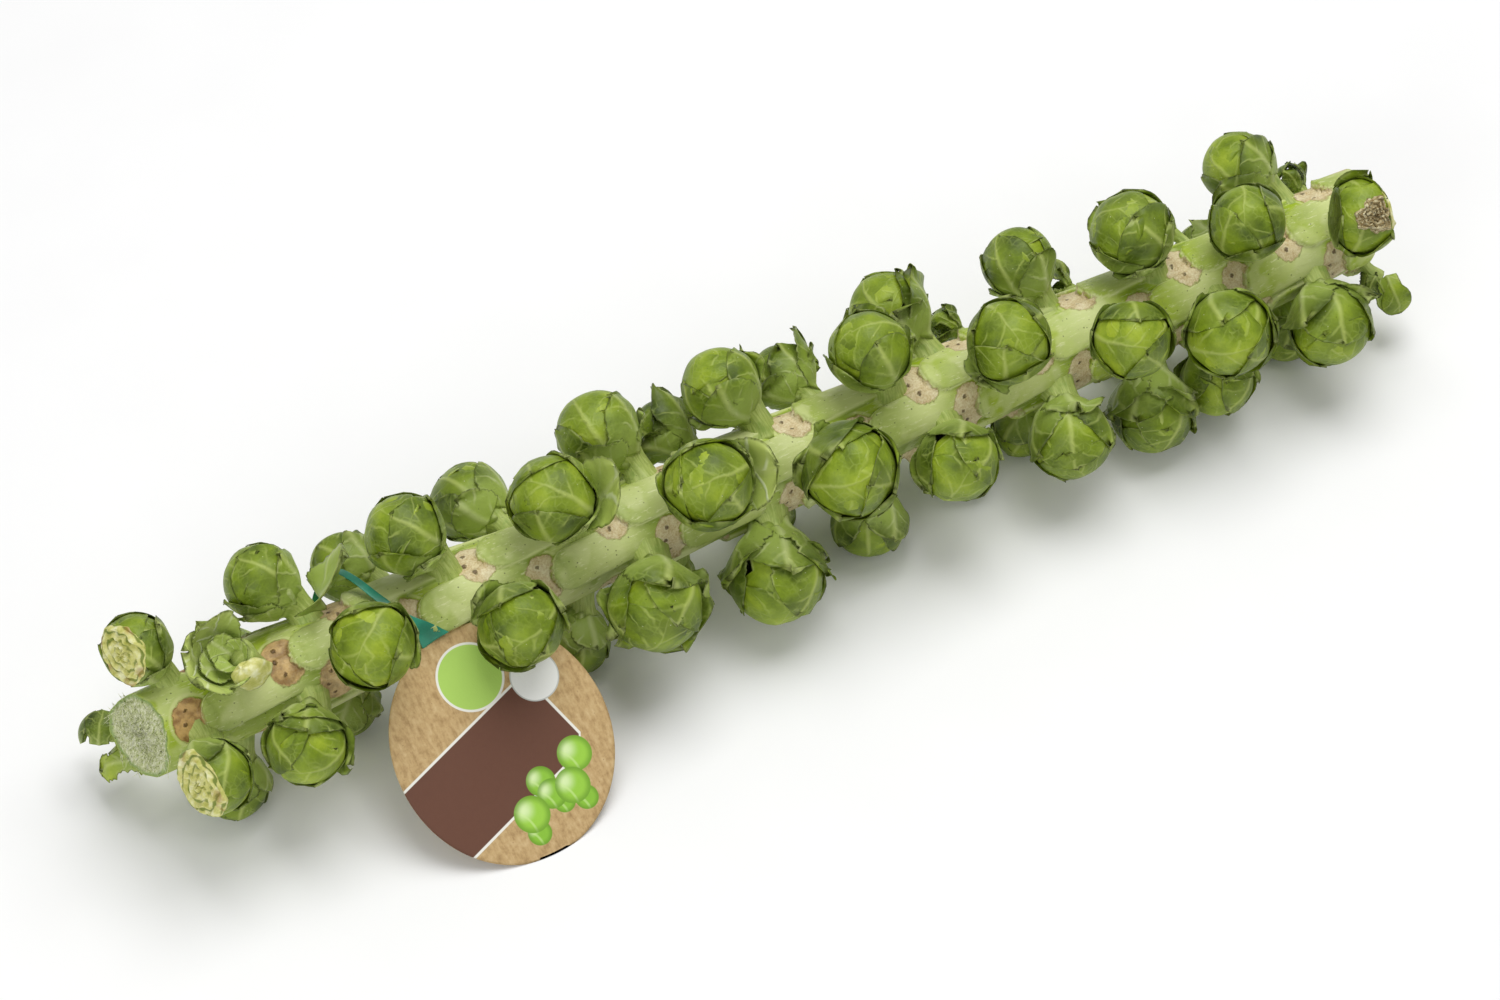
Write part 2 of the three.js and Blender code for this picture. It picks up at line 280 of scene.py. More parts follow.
class Shade:
    """A node material written as expressions. Colours of three numbers are as on a screen."""

    def __init__(self, name, **sockets):
        self.material = bpy.data.materials.new(name)
        self.material.use_nodes = True
        self.tree = self.material.node_tree
        self.shader = self.tree.nodes["Principled BSDF"]
        for socket, value in sockets.items():
            self.shader.inputs[socket.replace("_", " ")].default_value = value

    def node(self, kind, settings=None, output=0, **inputs):
        """A new node's output. An input is called by its name, or by _ and its number."""
        made = self.tree.nodes.new("ShaderNode" + kind)
        for key, value in (settings or {}).items():
            setattr(made, key, value)
        for key, value in inputs.items():
            self.plug(made.inputs[int(key[1:]) if key[0] == "_" else key], value)
        return Value(self, made.outputs[output])

    def plug(self, socket, value):
        if isinstance(value, Value):
            self.tree.links.new(value.socket, socket)
        elif socket.type == "RGBA" and len(value) == 3:
            socket.default_value = srgb(*value)
        else:
            socket.default_value = value

    def math(self, operation, a, b=0.0):
        return self.node("Math", {"operation": operation}, _0=a, _1=b)

    def step(self, value, low, high, start=0.0, end=1.0):
        """Goes smoothly from start to end as the value passes from low to high."""
        settings = {"interpolation_type": "SMOOTHSTEP"}
        return self.node("MapRange", settings, _0=value, _1=low, _2=high, _3=start, _4=end)

    def fade(self, value, low, high):
        return self.step(value, low, high, 1.0, 0.0)

    def value(self, name):
        return self.node("Attribute", {"attribute_name": name}, "Fac")

    def vector(self, x, y, z):
        return self.node("CombineXYZ", X=x, Y=y, Z=z)

    def stretched(self, vector, *by):
        return self.node("VectorMath", {"operation": "MULTIPLY"}, _0=vector, _1=by)

    def noise(self, vector, scale, detail=2.0, rough=0.5):
        return self.node("TexNoise", Vector=vector, Scale=scale, Detail=detail, Roughness=rough)

    def cells(self, vector, scale, feature="F1"):
        settings = {"feature": feature}
        return self.node("TexVoronoi", settings, "Distance", Vector=vector, Scale=scale)

    def mix(self, share, a, b):
        return self.node("Mix", {"data_type": "RGBA"}, 2, _0=share, _6=a, _7=b)

    def coats(self, colour, *coats):
        """Lays colours over a first one: rows of a share and a colour."""
        for share, *over in coats:
            colour = self.mix(share, colour, tuple(over) if len(over) > 1 else over[0])
        return colour

    def ramp(self, value, *stops):
        made = self.node("ValToRGB", Fac=value)
        elements = made.socket.node.color_ramp.elements
        for _ in range(len(stops) - 2):
            elements.new(0.5)
        for element, (place, *colour) in zip(elements, stops):
            element.position = place
            element.color = srgb(*colour)
        return made

    def mm(self):
        """Position on the object, in mm."""
        place = self.node("TexCoord", None, "Object")
        return self.node("VectorMath", {"operation": "SCALE"}, Vector=place, Scale=1 / MM)

    def finish(self, colour, roughness, height=None, depth=0.3, strength=1.0):
        """Joins the colour, roughness and a height in mm to the shader."""
        self.plug(self.shader.inputs["Base Color"], colour)
        self.plug(self.shader.inputs["Roughness"], roughness)
        if height is not None:
            bump = self.node("Bump", Strength=strength, Distance=depth * MM, Height=height)
            self.plug(self.shader.inputs["Normal"], bump)
        return self.material


def leaf_material():
    s = Shade("leaf", Specular_IOR_Level=0.27, Coat_Weight=0.05, Coat_Roughness=0.4)
    u, v, edge = s.value("leaf_u"), s.value("leaf_v"), s.value("leaf_edge")
    tone, luck = s.value("leaf_tone"), s.value("leaf_luck")
    place = s.vector(u, v, luck * 50)
    broad = s.noise(place, 0.08)
    fine = s.noise(place, 0.9, 3, 0.6)
    wander = (s.noise(place, 0.14) - 0.5) * 5.5
    # The midrib tapers from the base, and the side veins leave it at a slant.
    half_rib = s.step(v, 8, 52, 1.25, 0.2)
    bow = s.vector(v * 0.5, luck * 90, 0)
    bow = (s.noise(bow, 0.07, 1) - 0.5) * 9
    u_bent = u + wander * 0.25 + bow
    across = abs(u_bent)
    rib = s.fade(across / half_rib, 0.1, 1.7) * s.step(v, 58, 24, 0.15, 1)
    spacing = 8.5
    side = s.math("SIGN", u_bent) * 0.23
    slant = v - (across * 1.05 - across * across * 0.016)
    phase = (slant + wander) / spacing + side + luck * 3
    off_vein = abs(s.math("FRACT", phase) - 0.5) * spacing
    thin = s.step(across, 1, 18, 1.3, 0.5)
    vein = s.fade(off_vein / thin, 0.1, 0.95)
    vein = vein * s.step(across, 24, 8, 0.15, 1)
    vein = vein * s.step(s.noise(place, 0.11, 1), 0.4, 0.62, 0.1, 1)
    net = s.fade(s.cells(place, 0.34, "DISTANCE_TO_EDGE"), 0, 0.16)
    net = net * s.step(s.noise(place, 0.13, 1), 0.4, 0.7)
    shade = tone + (broad - 0.5) * 1.25
    shade = shade + (fine - 0.5) * 0.3
    leaf = s.ramp(shade, (0, 42, 58, 6), (0.33, 80, 100, 12), (0.62, 119, 141, 24), (1, 166, 184, 50))
    bloom = s.step(s.noise(place, 0.18, 3, 0.7), 0.42, 0.75) * s.step(tone, 0.6, 0.1, 0, 0.4)
    near_rib = s.step(across, 9, 0, 0, 0.34)
    inside = s.step(tone, 0.8, 1.1)
    vein_colour = s.mix(inside, (184, 198, 104), (232, 238, 204))
    pale = s.step(v + wander * 1.2, 6, 21, 0.9, 0)
    base_colour = s.mix(vein * 0.5 + rib * 0.5, (158, 178, 84), (206, 214, 158))
    speck = s.fade(s.cells(place, 0.42), 0.05, 0.1) * s.step(s.noise(place, 0.3, 1), 0.55, 0.62)
    spot = s.cells(s.vector(v, u, luck), 0.3)
    # Painted highlight: a lighter band just inside each leaf's margin, where its curled edge would
    # catch the light.
    painted_margin_highlight = s.fade(edge, 0.5, 1.5) * s.step(s.noise(place, 0.1, 1), 0.5, 0.6)
    # Darker within the last mm of each margin: partly the margin's own dark brownish colour and partly
    # painted shade of the crevice under it.
    rim = s.fade(edge, 0.1, 0.8) * s.step(fine, 0.4, 0.7, 0.4, 0.9)
    leaf = s.coats(
        leaf,
        (bloom, 128, 142, 92),
        (net * 0.28, 160, 178, 84),
        (near_rib, 150, 170, 58),
        (inside * 0.6, 196, 208, 132),
        (vein * (0.36 + inside * 0.6), vein_colour),
        (rib * 0.5, 188, 200, 112),
        (pale, base_colour),
        (speck * 0.75, 46, 50, 22),
        (s.step(spot, 0.035, 0.06, 0.8, 0), 214, 218, 176),
        (painted_margin_highlight * 0.5, 190, 202, 122),
        (rim, 70, 78, 30),
    )
    rough = 0.34 + fine * 0.2
    height = rib * 0.7 + vein * 0.5
    height = height + (net * 0.2 + fine * 0.25)
    height = height + (broad * 1.6 + s.noise(place, 0.35) * 0.7)
    return s.finish(leaf, rough, height, 0.6, 0.6)


def neck_material():
    s = Shade("neck", Specular_IOR_Level=0.35)
    u, v, tone = s.value("leaf_u"), s.value("leaf_v"), s.value("leaf_tone")
    place = s.mm()
    streak = s.noise(s.vector(u * 1.6, v * 0.18, tone), 1, 3, 0.6)
    patch = s.noise(place, 0.3)
    colour = s.ramp(streak, (0.25, 140, 158, 72), (0.55, 174, 188, 104), (0.85, 204, 212, 148))
    colour = s.mix(s.step(patch, 0.5, 0.75, 0, 0.5), colour, (128, 158, 70))
    dots = s.step(s.cells(place, 0.5), 0.06, 0.12, 0.7, 0)
    colour = s.mix(dots, colour, (96, 96, 50))
    return s.finish(colour, 0.5, streak + patch * 0.6, 0.4, 0.6)


def cut_material():
    """The face of a cut head: crumpled layers, pale inside and green at their edges."""
    s = Shade("cut_face", Specular_IOR_Level=0.3)
    rho, layer = s.value("cut_rho"), s.value("leaf_v")
    place = s.mm()
    warp = s.noise(place, 0.3) - 0.5
    fine = s.noise(place, 1.3, 3, 0.65)
    line = s.fade(layer + warp * 1.6, -0.85, -0.35)
    broad = s.noise(place, 0.3)
    body = s.ramp(
        broad * 0.8 + fine * 0.2,
        (0.32, 176, 178, 82), (0.5, 210, 208, 128), (0.66, 232, 232, 186),
    )
    green = s.step(rho, 0.1, 0.8, 0.4, 0.85)
    body = s.mix(line * green, body, (104, 124, 34))
    stain = s.step(s.noise(place, 0.16), 0.54, 0.7) * s.step(rho, 0.4, 0.95, 0, 0.65)
    body = s.mix(stain, body, (158, 118, 52))
    return s.finish(body, 0.5, line * -0.5 + broad * 1.2, 0.6, 0.7)


def dried_material():
    """A cut that has dried: brown, flaky and torn."""
    s = Shade("dried_cut", Specular_IOR_Level=0.2)
    place = s.mm()
    drawn = s.stretched(place, 0.3, 1, 1.5)
    flake = s.cells(drawn, 0.5, "DISTANCE_TO_EDGE")
    fine = s.noise(drawn, 0.7, 4, 0.75)
    colour = s.ramp(fine, (0.36, 146, 118, 74), (0.5, 200, 184, 136), (0.62, 236, 230, 194))
    colour = s.mix(s.step(flake, 0.02, 0.14, 0.55, 0), colour, (104, 84, 46))
    return s.finish(colour, 0.75, flake * 1.5 + fine, 0.9, 1)


def stem_material():
    s = Shade("stem", Specular_IOR_Level=0.36)
    scar_field, oval_field, pit = s.value("scar"), s.value("scar_oval"), s.value("pit")
    lobe, along = s.value("lobe"), s.value("along")
    cut, rho = s.value("cut"), s.value("cut_rho")
    place = s.mm()
    stretched = s.stretched(place, 0.16, 1, 1)
    streak = s.noise(stretched, 0.5, 3, 0.6)
    broad = s.noise(place, 0.035)
    mottle = s.noise(place, 0.22, 3, 0.6)
    fine = s.noise(place, 1.4, 3, 0.6)
    # Rind: greyer towards the crown, yellower in the hollows and towards the root.
    warm = s.step(along, 40, 380, 0.1, 0.5) + (broad - 0.5) * 1.7
    warm = warm + 0.34 - lobe * 0.4
    rind = s.ramp(
        warm,
        (0.1, 170, 184, 106), (0.38, 164, 181, 84), (0.62, 162, 184, 46), (0.95, 152, 180, 20),
    )
    # Painted highlight: a pale line along each cushion's raised edge.
    edge = s.step(lobe, 0.25, 0.6) * s.fade(lobe, 0.6, 0.9)
    # Painted shadow: a dark line at the foot of each cushion's step.
    foot = s.step(lobe, 0.02, 0.12) * s.fade(lobe, 0.15, 0.4)
    scratch = s.noise(s.stretched(place, 0.5, 2, 2), 0.5, 3, 0.7)
    dots = s.fade(s.cells(place, 0.36), 0.07, 0.15) * s.step(mottle, 0.4, 0.48)
    rind = s.coats(
        rind,
        (s.step(streak, 0.46, 0.8, 0, 0.4), 198, 205, 126),
        (s.step(mottle, 0.52, 0.7, 0, 0.45), 150, 166, 78),
        (edge * 0.75, 216, 222, 156),
        (foot * 0.7, 126, 148, 44),
        (s.step(scratch, 0.56, 0.7, 0, 0.6), 228, 230, 180),
        (s.step(s.noise(place, 0.07), 0.5, 0.6, 0, 0.45), 214, 219, 160),
        (dots * 0.75, 84, 92, 44),
    )
    # Scar: an oval patch that a leaf left, overlapped on its root side by the cushion.
    bend = (s.noise(place, 0.14, 1) - 0.5) * 0.4
    jagged = (s.noise(place, 0.6) - 0.5) * 0.22
    scar_field = scar_field + (bend * 0.7 + jagged)
    scar = s.fade(scar_field, -0.02, 0.02)
    rim = s.fade(abs(scar_field - 0.01), 0.01, 0.06)
    halo = s.fade(abs(oval_field - 0.14), 0.02, 0.13)
    halo = halo * s.fade(lobe, 0.02, 0.2)
    tan = s.ramp(
        fine * 0.6 + mottle * 0.5,
        (0.36, 178, 152, 104), (0.52, 208, 190, 146), (0.72, 230, 220, 184),
    )
    old_scar = s.mix(s.step(mottle, 0.35, 0.65), (128, 86, 30), (200, 158, 88))
    pit = pit + (bend * 2.5 + jagged * 6)
    pits = s.step(pit, 0.4, 1.1)
    ring = s.step(abs(pit - 1.8), 0.1, 0.6, 0.22, 0)
    tan = s.coats(
        tan,
        (s.step(along, 130, 30, 0, 0.85), old_scar),
        (ring, 178, 142, 92),
        ((1 - pits) * 0.85, 84, 58, 28),
    )
    rind = s.mix(halo * 0.6, rind, (212, 216, 150))
    colour = s.mix(scar, rind, tan)
    colour = s.mix(rim * 0.4, colour, (146, 116, 66))
    # Cut ends: pale fibrous pith inside a green rind.
    strands = s.stretched(place, 1, 1.6, 0.5)
    weave = s.noise(strands, 0.9, 4, 0.75)
    pith = s.ramp(weave, (0.36, 158, 172, 96), (0.47, 212, 218, 160), (0.6, 242, 244, 214))
    pith = s.mix(s.step(rho, 0.84, 0.97), pith, (150, 176, 96))
    colour = s.mix(cut, colour, pith)
    rough = 0.44 + fine * 0.16
    height = streak * 0.5 + mottle * 0.5
    height = height + fine * 0.12 - (1 - pits) * (scar * 1.6)
    height = height - rim * 0.4
    height = height + cut * (weave * 2.2)
    return s.finish(colour, rough, height, 0.6, 0.8)


PRINT_BLUR = 0.12
# Each round's centre on the card and its radius in mm, and how light its green is.
PRINTED_ROUNDS = (
    (20.8, -31.4, 4.5, 0), (-0.8, -36.5, 4.6, 0), (12.5, -29.5, 4.2, 0),
    (7.3, -19.5, 5.6, 0.2), (9.4, -25.2, 5.6, 0.1), (23.2, -15, 6.6, 0.6),
    (17.8, -25.4, 6.7, 0.5), (-0.7, -29.2, 6.9, 0.6),
)


def card_material():
    """Kraft card with plain printed shapes: a brown band, two discs and some green rounds."""
    s = Shade("printed_card", Specular_IOR_Level=0.3)
    x, y, front = s.value("tag_x"), s.value("tag_y"), s.value("tag_front")
    place = s.vector(x, y, 0)
    along = s.stretched(place, 0.55, 0.16, 1)
    fibre = s.noise(along, 1.1, 3, 0.65)
    pulp = s.noise(place, 0.35, 3, 0.7)
    kraft = s.ramp(
        fibre * 0.55 + pulp * 0.45,
        (0.34, 158, 128, 84), (0.5, 188, 158, 110), (0.68, 206, 180, 134),
    )
    flecks = s.fade(s.cells(place, 0.5), 0.08, 0.16) * s.step(pulp, 0.5, 0.6)
    kraft = s.mix(flecks * 0.5, kraft, (130, 94, 56))

    def disc(centre_x, centre_y):
        dx = x - centre_x
        dy = y - centre_y
        return s.math("SQRT", dx * dx + dy * dy)

    def filled(distance, radius):
        return s.fade(distance, radius - PRINT_BLUR, radius + PRINT_BLUR)

    # The band slants across the card: p runs along it and q across it.
    slant = math.radians(20.8)
    p = x * math.cos(slant) + y * math.sin(slant)
    q = y * math.cos(slant) - x * math.sin(slant)
    middle, half = -5.8, 17.9
    q_off = abs(q - middle)
    end = s.math("MAXIMUM", q_off - 12.6, 0) + p

    def band(width, reach):
        return filled(q_off, width) * filled(end, reach)

    ink = s.mix(pulp * 0.3, (104, 68, 52), (84, 54, 42))
    white = (232, 230, 220)
    face = s.mix(band(half, 23.6), kraft, white)
    badge = disc(-1.2, 25.7)
    pale = disc(21.2, 16.8)
    face = s.coats(
        face,
        (band(half - 0.95, 22.6), ink),
        (filled(badge, 12.9), white),
        (filled(badge, 12), 170, 206, 98),
        (filled(pale, 9.4), 196, 198, 192),
        (filled(pale, 8.9), 236, 236, 232),
    )
    for place_x, place_y, size, lift in PRINTED_ROUNDS:
        blob = disc(place_x, place_y)
        lit = s.step(disc(place_x - 2.4, place_y + 2.6), 0.3, size * 0.8, 0.85, 0)
        off_arc = abs(disc(place_x - 2 * size, place_y - size) - 1.9 * size)
        vein = s.step(off_arc, 0.1, 0.7, 0.5, 0)
        green = (134 + 30 * lift, 186 + 26 * lift, 56 + 20 * lift)
        green = s.mix(lit, green, (222, 240, 184))
        green = s.mix(vein, green, (204, 232, 150))
        shell = s.mix(s.step(blob, size * 0.55, size, 0, 0.75), green, (98, 144, 36))
        face = s.mix(filled(blob, size), face, shell)
    # The back is bare.
    colour = s.mix(front, kraft, face)
    return s.finish(colour, 0.5 + fibre * 0.2, fibre + pulp, 0.12, 0.6)


def strap_material():
    s = Shade("strap_plastic", Specular_IOR_Level=0.5)
    place = s.mm()
    broad = s.noise(place, 0.12)
    fine = s.noise(place, 1.6)
    colour = s.mix(s.step(broad, 0.35, 0.7), (12, 112, 84), (34, 148, 118))
    colour = s.mix(fine * 0.2, colour, (90, 180, 160))
    return s.finish(colour, 0.3 + fine * 0.15, broad + fine * 0.4, 0.15, 0.5)


# ---------------------------------------------------------------- sprouts
LEAF_VALUES = ["leaf_u", "leaf_v", "leaf_edge", "leaf_tone", "leaf_luck", "cut_rho"]
GAP = 0.15
NECK_SHARE = 0.41
HEAD_FIT = 0.98
LEAF_THICKNESS = 0.5
LEAF_ROWS, LEAF_COLS = 24, 25
LEAF_ROWS_INNER = 30
STRIP_WIDTH = math.radians(25)
USUAL_RADIUS = 15
CARD_CLEARANCE = 0.55
NEIGHBOUR_REACH = 1.12


def leaf_grid(radius, leaf, luck):
    """Outer and inner points of a leaf about the head's centre, with its axis along +Z."""
    rows, cols = leaf.get("rows", LEAF_ROWS), leaf.get("cols", LEAF_COLS)
    t = np.linspace(0, 1, rows)[:, None]
    s = np.linspace(-1, 1, cols)[None, :]
    azimuth = math.radians(leaf["azimuth"])
    base, tip = math.radians(leaf.get("base", 161)), math.radians(leaf["tip"])
    phase = luck.uniform(0, 6.28, 8)
    # The outline is a circle over the head, joined to the neck by a strip, with an uneven margin.
    spread = math.radians(leaf["half_width"])
    polar = base + (tip - base) * t
    from_middle = polar - (tip + spread)
    circle = np.arccos(np.clip(cos(spread) / np.maximum(cos(from_middle), 0.01), 0, 1))
    circle = np.where(np.abs(from_middle) < spread, circle, 0)
    strip = STRIP_WIDTH * smoothstep(from_middle, -0.1, spread * 0.7)
    width = np.maximum((circle**4 + strip**4) ** 0.25, 0.02)
    uneven = 0.6 * sin(9 * t + phase[0] + 2 * np.sign(s)) + 0.3 * sin(24 * t + phase[1] + s)
    uneven = uneven + 0.35 * sin(47 * t + phase[7] + 3 * np.sign(s))
    ragged = leaf.get("ragged", 0.035)
    side = width * (1 + ragged * uneven) * s
    tip_wave = np.radians(2.2) * (sin(3 * s + phase[2]) + 0.6 * sin(8 * s + phase[3]))
    tip_wave = tip_wave * (1 + 12 * ragged) / 1.4
    polar = polar + tip_wave * t**2
    level = sin(polar)
    middle = np.stack([level * math.cos(azimuth), level * math.sin(azimuth), cos(polar)], -1)
    beside = np.array([-math.sin(azimuth), math.cos(azimuth), 0.0])
    way = cos(side)[..., None] * middle + sin(side)[..., None] * beside
    # Distances over the leaf, in mm: across from the midrib, up from the base, in from the margin.
    u = side * radius
    v = (base - polar) * radius + 0 * s
    in_side = (1 - np.abs(s)) * width * radius
    in_tip = (1 - t) * abs(base - tip) * radius + 0 * s
    edge = np.minimum(in_side, in_tip)
    lifted = leaf["lift"] * np.exp(-edge / leaf.get("reach", 2.6))
    lifted = lifted * smoothstep(t, 0.25, 0.75)
    lifted = lifted * (1 + leaf.get("wave", 0.35) * sin(7 * t + 4 * s + phase[4]))
    puff = 0.22 * sin(u / 4.1 + phase[5]) * sin(v / 5.3 + phase[6])
    puff = puff + 0.18 * sin(v / 3.1 + np.abs(u) / 3.4)
    scale = radius / USUAL_RADIUS
    rib = (0.12 + 0.85 * (1 - t) ** 2.5) * np.exp(-((u / scale / 1.5) ** 2)) * (1 - t) ** 0.5
    opened = 1 + leaf.get("open", 0) * t**2
    size = radius * leaf["shell"] * opened + (puff + rib + lifted) * scale
    # Below the head, the leaf runs down along the neck.
    low = np.arccos(np.clip(way[..., 2], -1, 1))
    neck = NECK_SHARE * radius * leaf["shell"] / np.maximum(sin(low), 0.05)
    drawn_in = smoothstep(low, math.radians(105), math.radians(140))
    size = (1 - drawn_in) * size + drawn_in * (size**8 + neck**8) ** (1 / 8)
    thick = LEAF_THICKNESS * (0.45 + 0.55 * smoothstep(edge, 0.0, 2.5))
    outer = way * size[..., None]
    inner = way * (size - thick)[..., None]
    values = {"leaf_u": u / scale, "leaf_v": v / scale + leaf.get("above_base", 0), "leaf_edge": edge}
    return outer, inner, values


def head_leaves(luck, turn, loose, dark):
    """The leaves of a head from the innermost to the outermost, as angles in degrees."""
    steps = (
        # half width, tip, shell, tone, lift, turn from the leaf inside it
        (89, -74, 0.93, 0.62, 0.2, 0),
        (78, -50, 0.948, 0.53, 0.35, 155),
        (66, 24, 0.966, 0.44, 0.5, 150),
        (60, 45, 0.98, 0.35, 0.6, 138),
        (56, 58, 0.99, 0.28, 0.8, 138),
        (52, 70, 1.0, 0.21, 1.0, 136),
        (48, 84, 1.012, 0.16, 1.3, 140),
        (40, 102, 1.026, 0.22, 1.3, 130),
    )
    leaves = []
    azimuth = turn
    for i, (half_width, tip, shell, tone, lift, step) in enumerate(steps):
        azimuth += step + luck.uniform(-16, 16)
        leaves.append({
            "azimuth": azimuth,
            "half_width": half_width * luck.uniform(0.9, 1.04),
            "tip": tip + luck.uniform(-1, 1) * (15 if i == 2 else 9),
            "shell": shell,
            "tone": tone + luck.uniform(-0.1, 0.1) - dark,
            "lift": lift * luck.uniform(0.5, 1.3) + loose * max(i - 3, 0) * luck.uniform(0.1, 0.5),
            "reach": 1.8 + 0.35 * i,
            "wave": 0.35 + 0.5 * loose,
            "ragged": 0.025 + 0.012 * i * (0.4 + loose),
            "base": 160 - 1.5 * i,
            "rows": LEAF_ROWS_INNER if i < 3 else LEAF_ROWS,
        })
    return leaves


def axes_about(axis):
    """Rows: a direction near the stem's, a direction across it, and the axis."""
    forward = unit(ALONG - axis * axis[0])
    return np.stack([forward, np.cross(axis, forward), axis])


def press(points, node):
    """Keeps a head's points off the ground, its neighbours and the tag."""
    centre, radius, _ = SPROUTS[node]
    shape = points.shape
    flat = points.reshape(-1, 3).copy()
    for other, (other_centre, other_radius, _) in SPROUTS.items():
        apart = other_centre - centre
        distance = np.linalg.norm(apart)
        if other == node or distance > (radius + other_radius) * NEIGHBOUR_REACH:
            continue
        way = apart / distance
        share = (distance + (radius**2 - other_radius**2) / distance) / 2
        over = (flat - centre) @ way - (share - GAP)
        flat -= np.maximum(over, 0)[:, None] * way
    near_tag = abs((centre - TAG_CENTRE) @ TAG_NORMAL) < radius + 5
    if near_tag and np.linalg.norm(centre - TAG_CENTRE) < radius + TAG_RADIUS + 4:
        side = np.sign((centre - TAG_CENTRE) @ TAG_NORMAL)
        offset = flat - TAG_CENTRE
        height = offset @ TAG_NORMAL * side
        in_plane = np.linalg.norm(offset - np.outer(offset @ TAG_NORMAL, TAG_NORMAL), axis=1)
        short = np.maximum(CARD_CLEARANCE - height, 0) * (in_plane < TAG_RADIUS + 1)
        flat += (short * side)[:, None] * TAG_NORMAL
    flat[:, 2] = np.maximum(flat[:, 2], FLOOR_Z)
    return flat.reshape(shape)


def sprout_leaf(skin, node, leaf, luck):
    centre, radius, foot = SPROUTS[node]
    turned = axes_about(unit(np.array(leaf.get("axis", centre - foot))))
    if "faces" in leaf:
        ahead, across, _ = turned @ np.array(leaf["faces"])
        leaf = dict(leaf, azimuth=math.degrees(math.atan2(across, ahead)))
    centre = centre + np.array(leaf.get("shift", (0, 0, 0)))
    outer, inner, values = leaf_grid(radius * HEAD_FIT * leaf.get("size", 1), leaf, luck)
    sides = []
    for side in (outer, inner):
        points = centre + side @ turned
        for facing, depth, _ in CUTS.get(node, ()):
            normal = unit(np.array(facing))
            over = (points - centre) @ normal - depth * radius
            points = points - np.maximum(over, 0)[..., None] * normal
        sides.append(press(points, node))
    tones = np.array([leaf["tone"], leaf["tone"] + leaf.get("inside", 0.35)])
    values["leaf_tone"] = np.broadcast_to(tones[:, None, None], (2, *outer.shape[:2]))
    values["leaf_luck"] = np.full(outer.shape[:2], luck.uniform())
    skin.shell(*sides, LEAF, **values)


def sprout_neck(skin, node, luck, share):
    """The stub that carries the head: it flares into the stem and into the head's base."""
    centre, radius, foot = SPROUTS[node]
    axis = unit(centre - foot)
    _, around = along_around(foot)
    out = outward(np.array(around))
    start = foot - out * 3
    bend = foot + out * 0.45 * np.linalg.norm(centre - foot) * 0.6
    finish = centre - axis * radius * 0.62
    rows, cols = 18, 32
    t = np.linspace(0, 1, rows)[:, None, None]
    line = (1 - t) ** 2 * start + 2 * t * (1 - t) * bend + t**2 * finish
    heading = 2 * (1 - t) * (bend - start) + 2 * t * (finish - bend)
    heading = units(heading)
    across = units(ALONG - heading * heading[..., :1])
    other = np.cross(heading, across)
    angle = ring_angles(cols)[..., None]
    flare = 0.42 * np.exp(-t * 6.5) + 0.55 * smoothstep(t, 0.45, 1.0)
    ridges = 1 + 0.05 * sin(3 * angle + luck.uniform(0, 6)) + 0.04 * sin(8 * angle + 5 * t)
    wide = radius * share * (1 + flare) * ridges
    points = line + wide * (cos(angle) * across + sin(angle) * other)
    points[..., 2] = np.maximum(points[..., 2], FLOOR_Z)
    grid_u = np.broadcast_to(angle[..., 0] * radius * 0.33, (rows, cols))
    grid_v = np.broadcast_to(t[..., 0] * 12, (rows, cols))
    skin.tube(points, NECK, leaf_u=grid_u, leaf_v=grid_v, leaf_tone=luck.uniform(0, 9))


def cut_face(skin, node, facing, depth, slot, luck):
    """The face that a knife left on a head, as a thin crumpled disc."""
    centre, radius, _ = SPROUTS[node]
    normal = unit(np.array(facing))
    reach = radius * math.sqrt(1 - depth**2) * 0.93
    across = unit(np.cross(normal, [0.1, 0.3, 1.0]))
    other = np.cross(normal, across)
    rows, cols = 26, 96
    rho = np.linspace(1, 0.02, rows)[:, None]
    angle = ring_angles(cols)
    phase = luck.uniform(0, 6.28, 4)
    ragged = 3.5 if slot == DRIED_CUT else 1
    uneven = 0.04 * sin(3 * angle + phase[0]) + 0.025 * sin(7 * angle + phase[1])
    uneven = 1 + ragged * (uneven + 0.01 * sin(17 * angle))
    far = rho * reach * uneven
    crumple = sin(9 * angle + 12 * rho + phase[3])
    folds = 0.4 * sin(2 * angle + phase[2]) + 0.12 * crumple
    layer = sin(2 * np.pi * (rho * 3.4 + folds) + 0.8 * sin(5 * angle))
    relief = 0.9 + 0.75 * layer + 0.25 * crumple
    relief = relief * smoothstep(1 - rho, 0.0, 0.12) + 0.12
    flat = centre + normal * depth * radius
    points = flat + far[..., None] * (
        cos(angle)[..., None] * across + sin(angle)[..., None] * other
    )
    top = points + relief[..., None] * normal
    base = points[:1] - 0.9 * normal
    ring = np.concatenate([flat + (base - flat) * 0.3, base, top])
    values = np.concatenate([np.ones((2, cols)), np.broadcast_to(rho, (rows, cols))])
    layers = np.concatenate([np.ones((2, cols)), layer])
    skin.tube(ring[:, ::-1], slot, cut_rho=values, leaf_luck=luck.uniform(), leaf_v=layers[:, ::-1])


# Heads that stand out: turn of the innermost leaf about the head's axis in degrees, how loose
# its leaves are and how dark.
LOOKS = {
    "sprout_19": (160, 0.1, 0.0),
    "sprout_24": (190, 0.3, -0.04),
    "sprout_25": (40, 1.8, 0.12),
    "sprout_26": (120, 0.8, 0.04),
    "sprout_30": (40, 1.8, 0.04),
    "sprout_21": (80, 1.3, 0.04),
    "sprout_29": (20, 1.2, 0.02),
    "sprout_44": (90, 0.8, 0.04),
    "sprout_35": (90, 1.3, 0.0),
    "sprout_39": (150, 1.1, 0.02),
}


def blade(azimuth, half_width, tip, shell, tone, lift=0.3, **more):
    """A leaf's angles in degrees, its share of the radius, how pale it is and how far it lifts."""
    leaf = {"azimuth": azimuth, "half_width": half_width, "tip": tip, "shell": shell}
    return {**leaf, "tone": tone, "lift": lift, **more}


